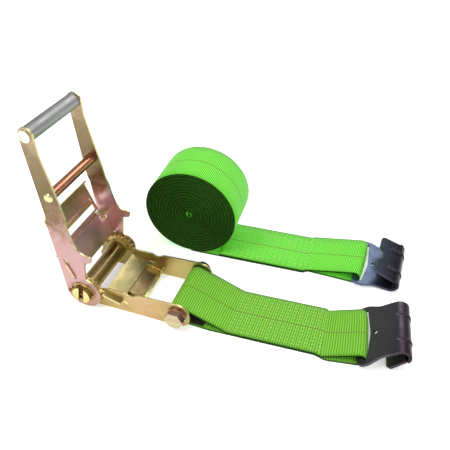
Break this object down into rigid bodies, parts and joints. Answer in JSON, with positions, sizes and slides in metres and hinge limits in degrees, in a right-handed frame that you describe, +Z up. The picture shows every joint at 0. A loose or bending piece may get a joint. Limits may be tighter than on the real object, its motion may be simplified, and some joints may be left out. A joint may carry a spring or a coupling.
{
  "type": "ratchet strap",
  "caption": "Wide cargo ratchet with a long handle, sprung pawls and slotted mandrel on a short sewn strap, and a coiled long strap, each strap ending in a flat hook.",
  "frame": {"origin": "centre of the footprint of the whole set, on the floor", "axes": "+X from the ratchet towards the hooks, +Y across the webbing towards the coil, +Z up"},
  "size_m": [0.5988, 0.3366, 0.3405],
  "materials": {
    "frame_zinc": "yellow zinc plated pressed steel",
    "pawl_zinc": "yellow zinc plated pressed steel",
    "fastener_zinc": "yellow zinc plated turned steel",
    "spring_steel": "zinc plated spring wire",
    "mandrel_zinc": "yellow zinc plated bar",
    "wheel_zinc": "yellow zinc plated stamped wheel",
    "handle_zinc": "yellow zinc plated pressed steel with a pink cast",
    "grip_tube": "satin plain zinc plated tube",
    "cross_tube_zinc": "yellow zinc plated tube",
    "pull_zinc": "yellow zinc plated pressed steel",
    "webbing": "woven polyester webbing",
    "wear_lining": "dark woven wear lining",
    "short_hook_steel": "dark zinc phosphate and oil",
    "long_hook_steel": "satin blue-grey paint"
  },
  "bodies": {
    "frame": {"frame_plate_near": "frame_zinc", "frame_plate_far": "frame_zinc", "cross_plate": "pawl_zinc", "lock_spring_near": "spring_steel", "lock_spring_far": "spring_steel", "lock_spring_guide_near": "fastener_zinc", "lock_spring_guide_far": "fastener_zinc", "bolt": "fastener_zinc", "bolt_nut": "fastener_zinc", "bolt_washer_near": "fastener_zinc", "bolt_washer_far": "fastener_zinc", "bolt_sleeve": "fastener_zinc"},
    "lock_pawl": {"lock_pawl": "pawl_zinc"},
    "mandrel": {"mandrel_half_front": "mandrel_zinc", "mandrel_half_rear": "mandrel_zinc", "ratchet_wheel_inner_near": "wheel_zinc", "ratchet_wheel_inner_far": "wheel_zinc", "ratchet_wheel_outer_near": "wheel_zinc", "ratchet_wheel_outer_far": "wheel_zinc", "mandrel_washer_near": "mandrel_zinc", "mandrel_washer_far": "mandrel_zinc", "cotter_pin_near": "fastener_zinc", "cotter_pin_far": "fastener_zinc"},
    "handle": {"handle_plate_near": "handle_zinc", "handle_plate_far": "handle_zinc", "spring_bracket_near": "handle_zinc", "spring_bracket_far": "handle_zinc", "grip_tube": "grip_tube", "grip_rivet": "grip_tube", "cross_tube": "cross_tube_zinc", "cross_rivet": "cross_tube_zinc", "drive_spring_near": "spring_steel", "drive_spring_far": "spring_steel"},
    "drive_pawl": {"drive_pawl": "pull_zinc", "pull_plate": "pull_zinc"},
    "short_strap": {"short_strap": "webbing", "wear_sleeve": "wear_lining"},
    "short_hook": {"short_hook": "short_hook_steel"},
    "long_strap": {"long_strap": "webbing"},
    "long_hook": {"long_hook": "long_hook_steel"}
  },
  "joints": [
    {"name": "handle_swing", "type": "hinge", "parent": "frame", "child": "handle", "pos_m": [-0.24437, -0.09144, 0.0345], "axis": [0, -1, 0], "range_deg": [-72, 74]},
    {"name": "mandrel_turn", "type": "hinge", "parent": "frame", "child": "mandrel", "pos_m": [-0.24437, -0.09144, 0.0345], "axis": [0, 1, 0], "continuous": true},
    {"name": "lock_pawl_slide", "type": "slide", "parent": "frame", "child": "lock_pawl", "axis": [0.9563, 0, -0.2924], "range_m": [-0.0033, 0.01], "stiffness_N_per_m": 400, "springref_m": -0.0033, "deforming": ["lock_spring_near", "lock_spring_far"]},
    {"name": "drive_pawl_slide", "type": "slide", "parent": "handle", "child": "drive_pawl", "axis": [-0.3584, 0, 0.9336], "range_m": [-0.0033, 0.01], "stiffness_N_per_m": 400, "springref_m": -0.0033, "deforming": ["drive_spring_near", "drive_spring_far"]},
    {"name": "short_strap_swing", "type": "hinge", "parent": "frame", "child": "short_strap", "pos_m": [-0.07637, -0.09144, 0.025], "axis": [0, -1, 0], "range_deg": [-60, 80]},
    {"name": "short_hook_swing", "type": "hinge", "parent": "short_strap", "child": "short_hook", "pos_m": [0.22163, -0.07598, 0.011], "axis": [0.1132, -0.9936, 0], "range_deg": [-70, 70]},
    {"name": "long_strap_lift", "type": "slide", "parent": "frame", "child": "long_strap", "axis": [0, 0, 1], "range_m": [0, 0.3]},
    {"name": "long_hook_swing", "type": "hinge", "parent": "long_strap", "child": "long_hook", "pos_m": [0.19119, 0.10742, 0.011], "axis": [-0.0175, -0.9998, 0], "range_deg": [-70, 70]}
  ]
}
